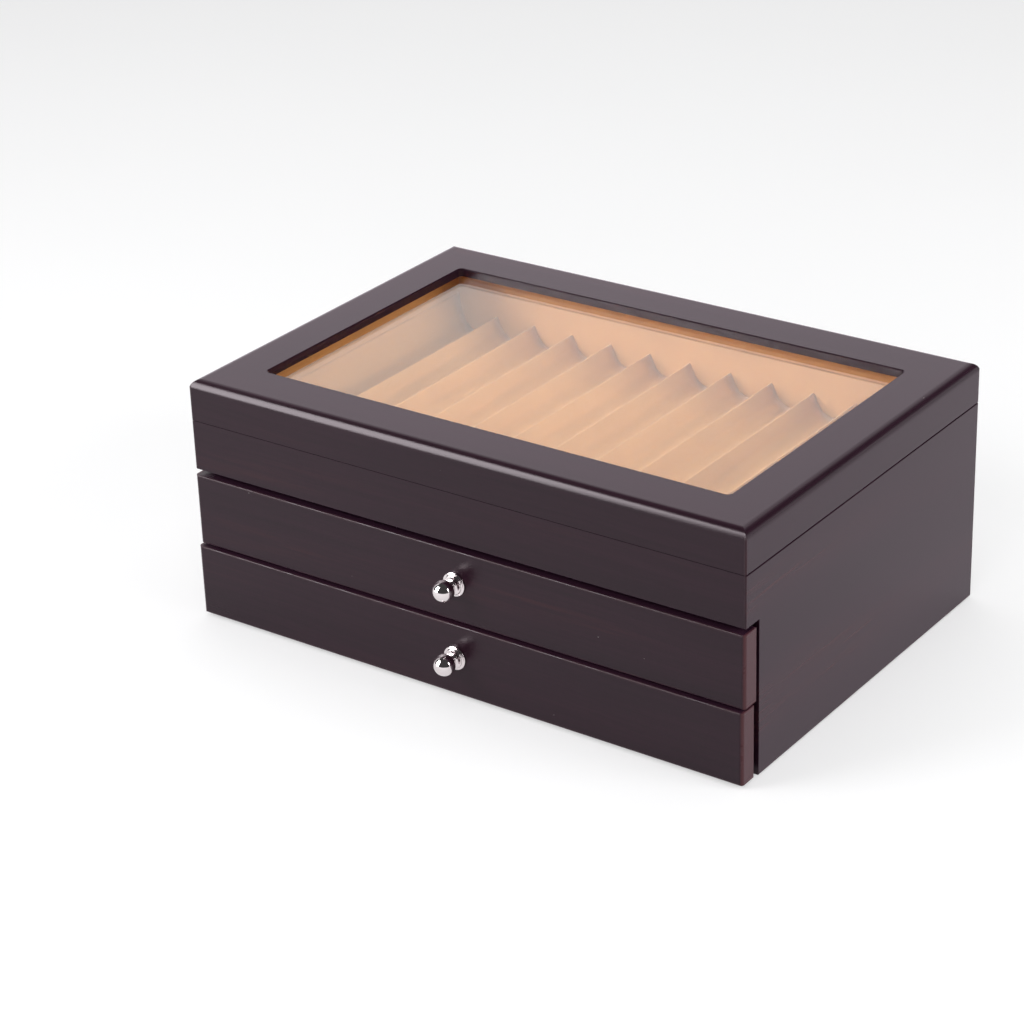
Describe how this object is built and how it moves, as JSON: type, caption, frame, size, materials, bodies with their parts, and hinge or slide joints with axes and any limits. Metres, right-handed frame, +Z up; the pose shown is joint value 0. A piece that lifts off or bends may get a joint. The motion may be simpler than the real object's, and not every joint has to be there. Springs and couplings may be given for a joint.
{
  "type": "pen collector chest",
  "caption": "Lacquered wooden chest for pens, with a hinged glass-topped lid, scalloped pen rests and drawers with ball knobs.",
  "frame": {"origin": "middle of the underside, on the face of the felt sheet that meets the table", "axes": "+X along the front from left to right, +Y from the drawer fronts to the hinges, +Z up"},
  "size_m": [0.34, 0.256, 0.1375],
  "materials": {
    "lacquered_wood": "satin espresso lacquer over faint grain",
    "panel_wood": "stained plywood panels, thin satin coat",
    "lining_velvet": "short tan velvet",
    "base_felt": "dark felt sheet",
    "window_glass": "clear float glass",
    "knob_nickel": "polished nickel plate",
    "hinge_nickel": "nickel-plated steel, fine drawn grain"
  },
  "bodies": {
    "case": {"case_front_rail": "lacquered_wood", "case_back": "lacquered_wood", "case_side_left": "lacquered_wood", "case_side_right": "lacquered_wood", "case_bottom": "panel_wood", "drawer_shelf": "panel_wood", "tray_floor": "panel_wood", "tray_lining_front": "lining_velvet", "tray_lining_back": "lining_velvet", "tray_lining_left": "lining_velvet", "tray_lining_right": "lining_velvet", "pen_rest_top": "lining_velvet", "base_felt": "base_felt", "hinge_left_case_leaf": "hinge_nickel", "hinge_right_case_leaf": "hinge_nickel", "hinge_left_pin": "hinge_nickel", "hinge_right_pin": "hinge_nickel"},
    "lid": {"lid_frame": "lacquered_wood", "lid_rail_front": "lacquered_wood", "lid_rail_back": "lacquered_wood", "lid_rail_left": "lacquered_wood", "lid_rail_right": "lacquered_wood", "glass_pane": "window_glass", "glass_retainer": "lining_velvet", "lid_lining_front": "lining_velvet", "lid_lining_back": "lining_velvet", "lid_lining_left": "lining_velvet", "lid_lining_right": "lining_velvet", "hinge_left_lid_leaf": "hinge_nickel", "hinge_right_lid_leaf": "hinge_nickel"},
    "drawer_upper": {"drawer_upper_front": "lacquered_wood", "drawer_upper_side_left": "panel_wood", "drawer_upper_side_right": "panel_wood", "drawer_upper_back": "panel_wood", "drawer_upper_bottom": "panel_wood", "drawer_upper_lining": "lining_velvet", "drawer_upper_pen_rest": "lining_velvet", "drawer_upper_knob": "knob_nickel"},
    "drawer_lower": {"drawer_lower_front": "lacquered_wood", "drawer_lower_side_left": "panel_wood", "drawer_lower_side_right": "panel_wood", "drawer_lower_back": "panel_wood", "drawer_lower_bottom": "panel_wood", "drawer_lower_lining": "lining_velvet", "drawer_lower_pen_rest": "lining_velvet", "drawer_lower_knob": "knob_nickel"}
  },
  "joints": [
    {"name": "lid_hinge", "type": "hinge", "parent": "case", "child": "lid", "pos_m": [0, 0.1189, 0.1146], "axis": [-1, 0, 0], "range_deg": [0, 95]},
    {"name": "drawer_upper_slide", "type": "slide", "parent": "case", "child": "drawer_upper", "axis": [0, -1, 0], "range_m": [0, 0.15]},
    {"name": "drawer_lower_slide", "type": "slide", "parent": "case", "child": "drawer_lower", "axis": [0, -1, 0], "range_m": [-0.002, 0.148]}
  ]
}
